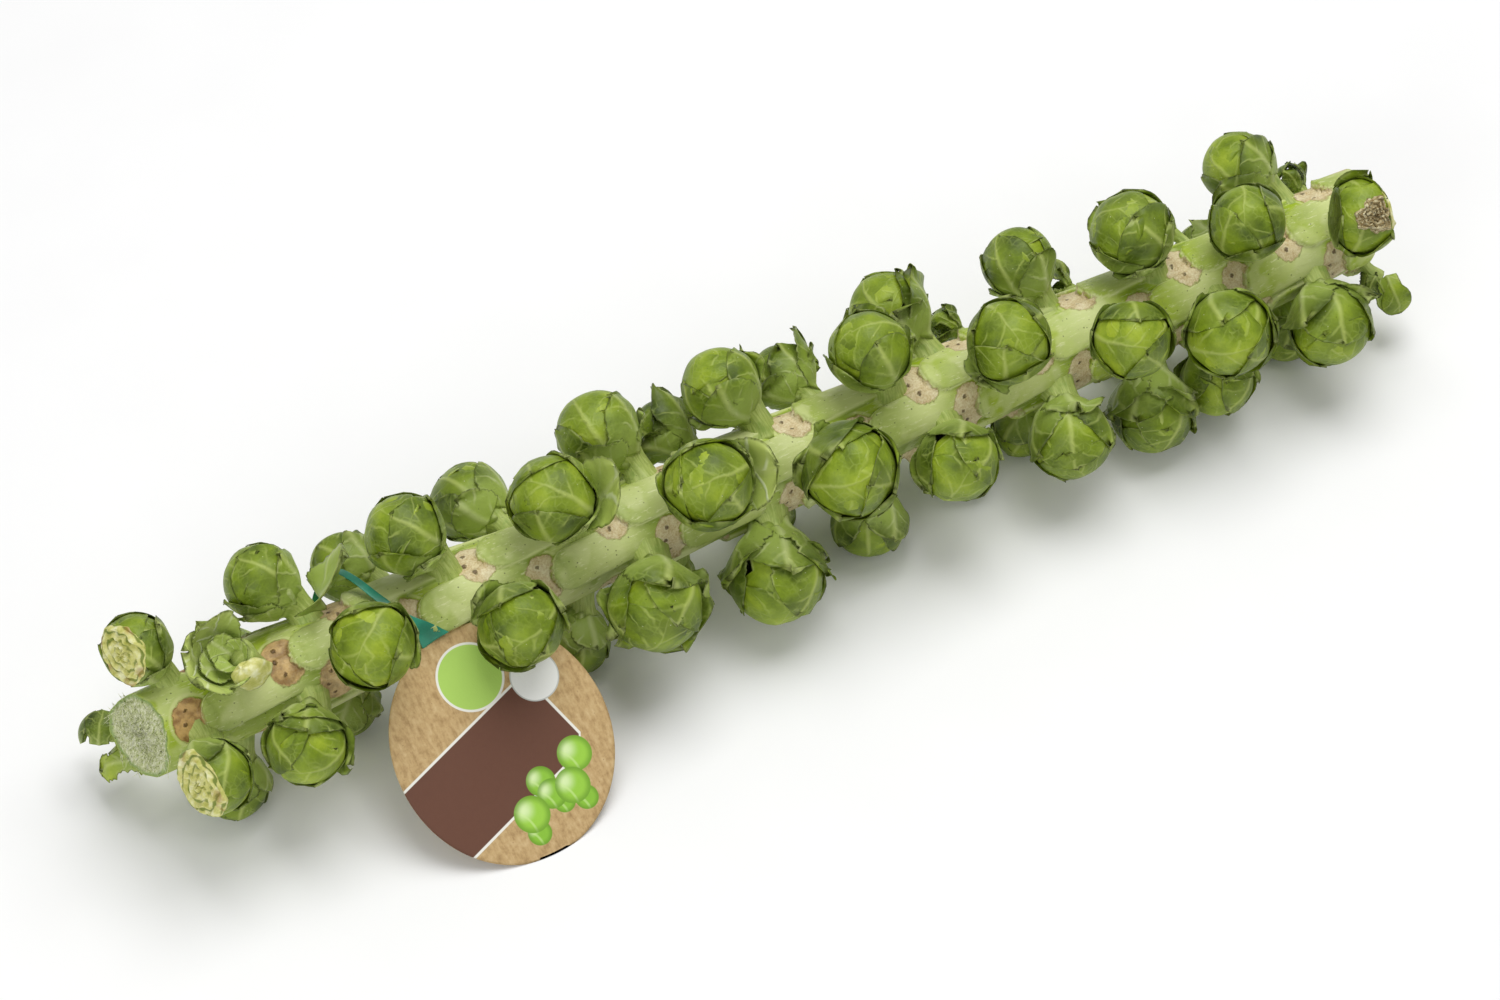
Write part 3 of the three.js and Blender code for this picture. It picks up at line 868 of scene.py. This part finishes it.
# Further leaves over some heads. Azimuth 0 points to the root end and 90 across the stem.
EXTRA_LEAVES = {
    "sprout_08": [blade(88, 66, 88, 1.03, 0.26, 0.9)],
    "sprout_09": [
        blade(322, 52, 104, 1.08, 0.42, 1, open=0.9, inside=0.4, wave=0.8, ragged=0.08,
              shift=(4.5, -4, -2)),
    ],
    "sprout_19": [blade(340, 44, 90, 1.03, 0.5, 1.5, open=0.5, inside=0.5, ragged=0.08)],
    "sprout_24": [
        blade(225, 84, 60, 1.05, 0.3, 1.4, reach=5, wave=0.4),
        blade(350, 42, 86, 1.04, 0.55, 1.5, open=0.42, inside=0.5, ragged=0.06),
    ],
    "sprout_25": [
        blade(300, 50, 50, 1.04, 0.2, 4, reach=5, wave=0.9),
        blade(20, 46, 76, 1.05, 0.25, 2, open=0.4, ragged=0.1),
    ],
    "sprout_26": [
        blade(30, 46, 80, 1.03, 0.15, 2, reach=3, wave=0.9, ragged=0.12),
        blade(165, 46, 82, 1.03, 0.15, 2.2, reach=3, wave=0.9, ragged=0.12),
    ],
    "sprout_29": [
        blade(130, 70, 50, 1.04, 0.2, 1.6, reach=4, wave=0.8),
        blade(320, 80, 56, 1.03, 0.3, 1.2, reach=4, wave=0.6),
    ],
    "sprout_30": [blade(330, 46, 66, 1.05, 0.4, 2, open=0.35, ragged=0.1)],
    "sprout_47": [blade(350, 80, 60, 1.04, 0.3, 1.3, reach=4, wave=0.5)],
    "sprout_44": [
        blade(60, 50, 80, 1.04, 0.25, 1.8, reach=3, wave=0.8, ragged=0.1),
        blade(170, 46, 84, 1.04, 0.2, 2.0, reach=3, wave=0.9, ragged=0.12),
    ],
    "sprout_35": [blade(320, 50, 66, 1.03, 0.3, 3, reach=4, wave=0.8)],
}
# A leaf with "faces" turns to that direction, so its azimuth of 0 is only a stand-in.
FRONT_UP = (-0.33, -0.58, 0.74)
# A head that is mostly gone: one dark leaf beside the crown and the torn foot of others below it.
DARK = {"axis": (0.37, 0.64, 0.67), "base": 118, "size": 0.68, "shift": (-1.2, 7, 4), "above_base": 12}
FOOT = {"size": 0.8, "ragged": 0.3}
TORN_LEAVES = [
    blade(0, 42, 18, 1.0, 0.12, 0.5, faces=FRONT_UP, **DARK),
    blade(0, 50, 20, 0.96, 0.25, faces=(-1, 0.3, -0.2), **DARK),
    blade(0, 60, 16, 0.92, 0.3, faces=(0.5, 0.2, -0.8), **DARK),
    blade(200, 24, 48, 1.05, 0.85, 2, shift=(4, -8, -3), **FOOT),
    blade(245, 28, 40, 1.0, 0.95, 2.5, shift=(5, -8, -3), **FOOT),
    blade(290, 24, 54, 0.95, 0.7, 1.5, shift=(5, -8, -3), **FOOT),
]
# A bud that ended as two hanging leaves, one of them shrivelled.
BROAD = {"axis": (0.01, -0.78, -0.6), "base": 126, "size": 1.25, "shift": (1, -1, -1), "above_base": 12}
SHRIVELLED = {"base": 130, "shift": (-5, 4, 1.5), "above_base": 12, "ragged": 0.3, "wave": 0.9}
HANGING_LEAVES = [
    blade(0, 40, 12, 1.0, 0.6, 0.8, faces=FRONT_UP, **BROAD),
    blade(0, 44, 20, 0.92, 0.3, 0.8, faces=(0.4, 0.5, -0.7), **BROAD),
    blade(0, 40, 10, 1.0, 0.0, 2, axis=(-0.5, -0.3, -0.7), faces=FRONT_UP, size=0.8, **SHRIVELLED),
    blade(0, 44, 10, 0.96, 0.05, 2, axis=(0.5, 0.5, 0.7), faces=(-0.6, -0.2, 0.4), size=0.7,
          **SHRIVELLED),
]
# A head that was broken off: only the bowls of its outer leaves are left, round a pale stub.
BROKEN = "sprout_06"
BOWL = {"above_base": -6, "inside": 0.9, "ragged": 0.1}
BROKEN_LEAVES = [
    blade(200, 50, 62, 0.98, 0.3, 2, open=0.1, wave=0.9, **BOWL),
    blade(150, 52, 50, 1.02, 0.2, 2, open=0.05, wave=0.9, **BOWL),
    blade(95, 46, 56, 1.0, 0.22, 2, open=0.05, wave=0.9, **BOWL),
    blade(245, 38, 96, 0.9, 0.4, 1, open=0.1, **BOWL),
    blade(170, 50, 84, 0.8, 1.1, open=0.12, wave=0.9, **BOWL),
    blade(110, 44, 92, 0.66, 1.2, open=0.1, wave=0.9, **BOWL),
    blade(20, 50, 112, 0.6, 1.2, wave=0.9, **BOWL),
    blade(210, 50, 104, 0.55, 1.2, wave=0.9, **BOWL),
]
ODD_HEADS = {"sprout_02": TORN_LEAVES, "bud_57": HANGING_LEAVES, BROKEN: BROKEN_LEAVES}


def broken_stub(skin, node):
    centre, radius, foot = SPROUTS[node]
    turned = axes_about(unit(centre - foot))
    rows, cols = 16, 40
    t = np.linspace(0, 1, rows)[:, None]
    angle = ring_angles(cols)
    dome = (1 - np.clip((t - 0.3) / 0.7, 0, 1) ** 3.5 * 0.98) ** 0.5
    lobes = 1 + 0.06 * sin(3 * angle + 1) + 0.03 * sin(7 * angle + 4 * t)
    wide = radius * 0.36 * dome * lobes
    local = np.stack([
        1.5 * wide * cos(angle) + 0.12 * radius,
        0.85 * wide * sin(angle) - 0.6 * radius + 0 * t,
        (t * 0.95 - 1.05) * radius + 0.4 * sin(5 * angle) * t,
    ], -1)
    points = centre + local @ turned
    skin.tube(points, FRESH_CUT, cut_rho=0.12 + 0.3 * np.abs(t - 0.8) + 0 * angle)


BUD_LOOSE = 2.0
BUD_DARK = 0.14
BUD_WIDTH = 0.72


def bud_leaves(luck, turn):
    """A bud's few leaves: short, narrow and standing off."""
    shape = {"reach": 6, "wave": 0.9, "rows": 18, "cols": 19, "above_base": 9}
    leaves = head_leaves(luck, turn, BUD_LOOSE, BUD_DARK)[1:7]
    for leaf in leaves:
        leaf.update(shape, lift=leaf["lift"] * 1.5 + 1.0)
        leaf["half_width"] *= BUD_WIDTH
    return leaves


def build_sprout(node):
    luck = np.random.default_rng(int(node[-2:]) * 7 + 3)
    bud = node.startswith("bud")
    usual = (luck.uniform(0, 360), luck.uniform(0, 0.8), luck.uniform(-0.06, 0.08))
    turn, loose, dark = LOOKS.get(node, usual)
    skin = Skin(LEAF_VALUES)
    sprout_neck(skin, node, luck, 0.3 if bud else 0.38)
    if node == BROKEN:
        broken_stub(skin, node)
    if node in ODD_HEADS:
        leaves = ODD_HEADS[node]
    elif bud:
        leaves = bud_leaves(luck, turn)
    else:
        leaves = head_leaves(luck, turn, loose, dark) + EXTRA_LEAVES.get(node, [])
    for leaf in leaves:
        sprout_leaf(skin, node, leaf, luck)
    for facing, depth, slot in CUTS.get(node, ()):
        if slot is not None:
            cut_face(skin, node, facing, depth, slot, luck)
    thing = skin.build(node.replace("sprout", "leafy_head").replace("bud", "leafy_bud"), MATERIALS)
    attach(thing, "root")
    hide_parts(node)


# ---------------------------------------------------------------- stem
# A leaf's scar lies on the root side of its sprout, and leans off that line round the stem.
SCAR_OFFSET = 11
SCAR_TURN = 18
SCAR_LINE = 38
SCAR_HALF_LENGTH = 7.6
SCAR_HALF_WIDTH = 9.6
LOBE_AHEAD = 10.5
LOBE_HALF_LENGTH = 8.2
LOBE_HALF_WIDTH = 8.2
SCARS = []
# Scars away from their node's usual place: [mm along, degrees around].
SCAR_PLACES = {"sprout_01": (26, -58), "sprout_03": (17, 50)}
for _node, (_centre, _radius, _foot) in SPROUTS.items():
    if _node in SCAR_PLACES:
        SCARS.append(SCAR_PLACES[_node])
        continue
    _along, _around = along_around(_foot)
    _turn = SCAR_TURN * math.sin(math.radians(_around - SCAR_LINE))
    SCARS.append((_along + SCAR_OFFSET, _around - _turn))
BARE_SCAR = (45, -72)
SCARS.append(BARE_SCAR)
CUSHION_HEIGHT = 3.3
SHELF_HEIGHT = 0.5
PIT_PLACES = ((-3.6, 0.0), (-1.8, 5.2), (-1.8, -5.2))
# What the fields read far from every scar.
PLAIN_FIELDS = {"scar": 3.0, "scar_oval": 3.0, "pit": 30.0, "lobe": 0.0}


def stem_relief(along, around):
    """Height over the plain stem in mm, and smooth fields that tell how near a scar's parts are."""
    shape = np.broadcast(along, around).shape
    height = np.zeros(shape)
    scar, oval, pit, lobe = (np.full(shape, plain) for plain in PLAIN_FIELDS.values())
    for scar_along, scar_around in SCARS:
        away = (around - scar_around + 180) % 360 - 180
        a = along - scar_along + 0 * away
        b = np.radians(away) * 17 + 0 * a
        near = (a > -16) & (a < 64) & (np.abs(b) < 20)
        if not near.any():
            continue
        hollow = np.sqrt(((a - LOBE_AHEAD) / LOBE_HALF_LENGTH) ** 2 + (b / LOBE_HALF_WIDTH) ** 2)
        # The cushion's flanks lean to one side, and it runs out towards the root end.
        b_flank = b + 0.06 * np.maximum(a - LOBE_AHEAD, 0)
        back = smoothstep(np.abs(b_flank), 8.9, 7.7)
        front = np.where(a < LOBE_AHEAD, smoothstep(hollow, 1.02, 0.92), back)
        cushion = front * np.clip(1 - (a - 2) / 54, 0, 1) ** 0.8
        round_scar = np.sqrt((a / SCAR_HALF_LENGTH) ** 2 + (b / SCAR_HALF_WIDTH) ** 2)
        shelf = smoothstep(round_scar, 1.04, 0.94) * (a < LOBE_AHEAD)
        bump = CUSHION_HEIGHT * cushion + SHELF_HEIGHT * shelf * smoothstep(a, -8, 4)
        height = np.where(near, np.maximum(height, bump), height)
        lobe = np.where(near, np.maximum(lobe, cushion), lobe)
        inside = np.maximum(round_scar - 1, np.where(a < LOBE_AHEAD, 1 - hollow, 1))
        scar = np.minimum(scar, inside)
        oval = np.minimum(oval, np.where(a < LOBE_AHEAD, round_scar - 1, 3.0))
        for pit_a, pit_b in PIT_PLACES:
            pit = np.minimum(pit, np.hypot(a - pit_a, b - pit_b))
    return height, {"scar": scar, "scar_oval": oval, "pit": pit, "lobe": lobe}


def stem_shape(along, around):
    height, fields = stem_relief(along, around)
    angle = np.radians(around)
    wobble = 0.28 * sin(3 * angle + along / 31) + 0.2 * sin(5 * angle - along / 17 + 1)
    wobble = wobble + 0.16 * sin(along / 6.3 + 2 * angle) * sin(7 * angle)
    near_crown = 1 - smoothstep(along, 0, 45)
    facets = near_crown * (0.9 * cos(3 * angle + 0.6) + 0.5 * cos(5 * angle + 2))
    return stem_radius(along) + height + wobble + facets - 0.55, fields


STEM_ROWS = 520
STEM_COLS = 156
CUT_ROWS = 24
STEM_SEED = 11


def build_stem():
    luck = np.random.default_rng(STEM_SEED)
    around = np.linspace(0, 360, STEM_COLS, endpoint=False)[None, :]
    angle = np.radians(around)
    crown = CROWN_BEVEL * STEM_RADIUS_CROWN * cos(np.radians(around - KNIFE_FACING))
    root = ROOT_BEVEL * STEM_RADIUS_ROOT * cos(np.radians(around - ROOT_KNIFE_FACING))
    torn = 0.6 * sin(angle * 4) + 0.3 * sin(angle * 13 + 1)
    share = np.linspace(0, 1, STEM_ROWS)[:, None]
    along = (crown + torn) * (1 - share) + (STEM_LENGTH + root) * share
    radius, fields = stem_shape(along, around + 0 * share)
    flat = np.zeros(along.shape)
    fields.update({"along": along, "cut": flat, "cut_rho": flat + 1})
    parts = {key: [grid] for key, grid in fields.items()}
    points = [placed(along, around, radius)]
    rough = luck.normal(0, 1, (CUT_ROWS, STEM_COLS))
    rho = np.linspace(0.97, 0.03, CUT_ROWS)[:, None]
    # The crown's cut face comes before the sides, from its middle out, and the root's after them.
    for end, bevel in enumerate((crown, root)):
        at = end * STEM_LENGTH + bevel * rho
        if end == 0:
            ripple = 0.3 * rough + 0.4 * sin(7 * rho + angle * 2)
            at = at + torn * rho**4 + ripple * (1 - rho**6)
        face = placed(at, around, radius[-end][None, :] * rho)
        order = slice(None, None, 1 if end else -1)
        where = end * len(points)
        points.insert(where, face[order])
        grids = {**PLAIN_FIELDS, "along": at, "cut": 1.0, "cut_rho": rho}
        for key, grid in grids.items():
            parts[key].insert(where, np.broadcast_to(grid, at.shape)[order])
    skin = Skin(list(parts))
    values = {key: np.concatenate(grids)[:, ::-1] for key, grids in parts.items()}
    skin.tube(np.concatenate(points)[:, ::-1], **values)
    add_fibres(skin, crown, luck)
    thing = skin.build("stalk_stem", [stem_material()])
    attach(thing, "root")
    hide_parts("stem")


FIBRES = 190
SPLINTER_LENGTH = 15
SPLINTER_WIDTH = 0.8


def add_fibres(skin, crown, luck):
    """Short torn fibres over the crown's cut face and round its rim, and one long splinter."""
    for i in range(FIBRES):
        around = luck.uniform(0, 360)
        rho = luck.uniform(0.1, 1.0) ** 0.6
        splinter = i == 0
        if splinter:
            around, rho = -30, 0.85
        at = np.interp(around, np.linspace(0, 360, crown.shape[1]), crown[0]) * rho
        start = placed(at + 0.6, around, stem_radius(0) * rho * 0.98)
        length = SPLINTER_LENGTH if splinter else luck.uniform(1.5, 5.5)
        heading = unit(np.array([-luck.uniform(0.1, 0.7), *luck.normal(0, 1, 2)]))
        if splinter:
            heading = unit(np.array([-1.0, -0.1, -0.12]))
        bend = luck.normal(0, 0.6, 3)
        t = np.linspace(0, 1, 7)[:, None, None]
        line = start + heading * length * t + bend * t**2
        line[..., 0] -= 0.3
        across = unit(np.cross(heading, [0.3, 0.2, 1.0]))
        other = np.cross(heading, across)
        angle = ring_angles(6)[..., None]
        wide = (SPLINTER_WIDTH if splinter else luck.uniform(0.14, 0.4)) * (1 - 0.8 * t)
        points = line + wide * (cos(angle) * across + 0.5 * sin(angle) * other)
        skin.tube(points, **PLAIN_FIELDS, cut=1.0, cut_rho=luck.uniform(0.2, 0.8))


# ---------------------------------------------------------------- tag and strap
_tag_points = cad_points("tag_card")
TAG_CENTRE = (_tag_points.min(0) + _tag_points.max(0)) / 2
_spread = np.linalg.svd(_tag_points - _tag_points.mean(0))[2]
TAG_NORMAL = _spread[2] * np.sign(_spread[2][2])
TAG_RADIUS = (_tag_points[:, 0].max() - _tag_points[:, 0].min()) / 2
TAG_UP = np.cross(TAG_NORMAL, ALONG)
TAG_THICKNESS = 0.5
TAG_NARROWER, TAG_TALLER = 0.955, 1.045
TAG_LOWER = 0.8
TAG_CURL = 0.9
TAG_ROWS, TAG_COLS = 40, 160


def build_tag():
    rows, cols = TAG_ROWS, TAG_COLS
    angle = ring_angles(cols)
    rho = np.linspace(0.02, 1, rows)[:, None]
    x = TAG_RADIUS * TAG_NARROWER * rho * cos(angle)
    y = TAG_RADIUS * TAG_TALLER * rho * sin(angle) - TAG_LOWER
    curl = TAG_CURL * (x / TAG_RADIUS) ** 2 + 0.25 * sin(x / 11 + 1) * (y / TAG_RADIUS)
    curl = curl * smoothstep(y, 30, -10)
    flat = TAG_CENTRE + x[..., None] * ALONG + y[..., None] * TAG_UP
    front = flat + (curl + TAG_THICKNESS / 2)[..., None] * TAG_NORMAL
    back = flat + (curl - TAG_THICKNESS / 2)[..., None] * TAG_NORMAL
    points = np.concatenate([front, back[::-1]])
    points[..., 2] = np.maximum(points[..., 2], FLOOR_Z)
    skin = Skin(["tag_x", "tag_y", "tag_front"])
    is_front = np.concatenate([np.ones((rows, cols)), np.zeros((rows, cols))])
    both_x, both_y = (np.concatenate([grid, grid[::-1]]) for grid in (x, y))
    skin.tube(points, tag_x=both_x, tag_y=both_y, tag_front=is_front)
    thing = skin.build("printed_tag", [card_material()])
    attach(thing, "root")
    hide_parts("tag_card")


STRAP_WIDTH = 3.2
STRAP_FLARE_WIDTH = 12
STRAP_FLARE_LENGTH = 22
STRAP_HALF_THICKNESS = 0.25
STRAP_STEPS = 150
STRAP_STEPS_AT_TAG = 30
STRAP_OFF_TAG = 0.3
# The strap's route round the stem: [mm along, degrees around, mm from the stem axis].
STRAP_ROUTE = [
    [112.5, 81.5, 21.6], [110, 71, 19.1], [106.5, 52, 19.5], [101, 28, 20], [96.5, 5, 21.4],
    [92, -25, 25], [89, -48, 27.5], [84, -72, 25.5], [81.5, -95, 22.5], [86, -122, 20.8],
    [95, -152, 20.4], [100, -182, 20.4], [102, -215, 20.4], [104, -245, 20.6], [107, -273, 20.8],
]


def smooth_line(knots, count):
    """A Catmull-Rom line through the knots, at even steps of its length."""
    padded = np.concatenate([[2 * knots[0] - knots[1]], knots, [2 * knots[-1] - knots[-2]]])
    pieces = []
    for i in range(len(knots) - 1):
        p0, p1, p2, p3 = padded[i : i + 4]
        t = np.linspace(0, 1, 40, endpoint=False)[:, None]
        pieces.append(0.5 * (2 * p1 + (p2 - p0) * t + (2 * p0 - 5 * p1 + 4 * p2 - p3) * t**2
                             + (3 * p1 - p0 - 3 * p2 + p3) * t**3))
    dense = np.concatenate([*pieces, knots[-1:]])
    length = np.concatenate([[0], np.cumsum(np.linalg.norm(np.diff(dense, axis=0), axis=1))])
    even = np.linspace(0, length[-1], count)
    return np.stack([np.interp(even, length, dense[:, k]) for k in range(3)], -1), even


def build_strap():
    route = np.array(STRAP_ROUTE, float)
    line, run = smooth_line(placed(*route.T), STRAP_STEPS)
    heading = units(np.gradient(line, axis=0))
    lift = line - np.array([0, AXIS_Y, AXIS_Z])
    lift[:, 0] = 0
    across = units(np.cross(heading, lift))
    lift = np.cross(across, heading)
    flare = 1 - smoothstep(run, 0, STRAP_FLARE_LENGTH)
    half = (STRAP_WIDTH + (STRAP_FLARE_WIDTH - STRAP_WIDTH) * flare) / 2
    # A flat section with rounded edges.
    angle = ring_angles(24)
    wide = np.sign(cos(angle)) * np.abs(cos(angle)) ** 0.35
    deep = np.sign(sin(angle)) * np.abs(sin(angle)) ** 0.6
    section = wide[..., None] * (half[:, None, None] * across[:, None])
    section = section + STRAP_HALF_THICKNESS * deep[..., None] * lift[:, None]
    points = line[:, None] + section
    # The wide end follows the edge of the tag.
    offset = points - TAG_CENTRE
    x, y = offset[..., 0], offset @ TAG_UP
    edge = TAG_RADIUS + STRAP_OFF_TAG
    from_middle = np.hypot(x, y)
    near = (from_middle < edge) & (np.arange(STRAP_STEPS) < STRAP_STEPS_AT_TAG)[:, None]
    shift = edge / np.maximum(from_middle, 1e-6) - 1
    moved = points + (x * shift)[..., None] * ALONG + (y * shift)[..., None] * TAG_UP
    points = np.where(near[..., None], moved, points)
    skin = Skin([])
    skin.tube(points[:, ::-1])
    thing = skin.build("loop_strap", [strap_material()])
    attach(thing, "root")
    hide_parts("tag_strap")


# ---------------------------------------------------------------- stage
FLOOR_SIZE = 4.0
FLOOR_BELOW = 0.0002
WORLD_STRENGTH = 0.42
MIDDLE = (0.0, 0.0, 0.05)
# Each lamp's name, place, width and power.
LAMPS = (("key", (0.35, 0.2, 1.65), 1.3, 21), ("fill", (-1.2, -0.8, 0.8), 0.9, 7))


def build_stage():
    mesh = bpy.data.meshes.new("floor")
    size, level = FLOOR_SIZE, FLOOR_Z * MM - FLOOR_BELOW
    corners = [(-size, -size, level), (size, -size, level), (size, size, level), (-size, size, level)]
    mesh.from_pydata(corners, [], [(0, 1, 2, 3)])
    floor = linked("floor", mesh)
    s = Shade("pale_floor", Specular_IOR_Level=0.1)
    grain = s.noise(s.mm(), 0.02, 2.0)
    mesh.materials.append(s.finish(s.mix(grain, (0.9, 0.9, 0.9, 1), (0.93, 0.93, 0.93, 1)), 0.9))

    world = bpy.data.worlds.new("soft_studio")
    bpy.context.scene.world = world
    world.use_nodes = True
    background = world.node_tree.nodes["Background"]
    background.inputs["Color"].default_value = (1.0, 1.0, 1.0, 1)
    background.inputs["Strength"].default_value = WORLD_STRENGTH

    for name, place, width, power in LAMPS:
        light = bpy.data.lights.new(name, "AREA")
        light.size = width
        light.energy = power
        back = unit(np.array(place) - np.array(MIDDLE))
        right = unit(np.cross([0, 1, 0.1], back))
        aim(linked(name, light), place, right, back)
    bpy.context.scene.view_settings.view_transform = "Standard"


def aim(thing, place, right, back):
    up = np.cross(back, right)
    rows = [[right[i], up[i], back[i], place[i]] for i in range(3)]
    thing.matrix_world = Matrix(rows + [[0, 0, 0, 1]])


CAMERA_TURN = math.radians(-29.859)
CAMERA_TILT = math.radians(48)
CAMERA_LENS = 107.64
SENSOR_WIDTH = 36
CAMERA_FROM_CROWN = (-0.31557, -0.99, 1.25425)


def build_camera():
    right = np.array([math.cos(CAMERA_TURN), math.sin(CAMERA_TURN), 0])
    level = np.array([math.sin(CAMERA_TURN), -math.cos(CAMERA_TURN), 0])
    back = level * math.cos(CAMERA_TILT) + np.array([0, 0, math.sin(CAMERA_TILT)])
    crown = np.array([CROWN_X, AXIS_Y, AXIS_Z]) * MM
    camera = bpy.data.cameras.new("camera")
    camera.lens = CAMERA_LENS
    camera.sensor_width = SENSOR_WIDTH
    thing = linked("camera", camera)
    aim(thing, crown + np.array(CAMERA_FROM_CROWN), right, back)
    bpy.context.scene.camera = thing


build_camera()
build_stage()
MATERIALS = [leaf_material(), neck_material(), cut_material(), dried_material()]
build_stem()
build_tag()
build_strap()
for sprout in SPROUT_NODES:
    build_sprout(sprout)
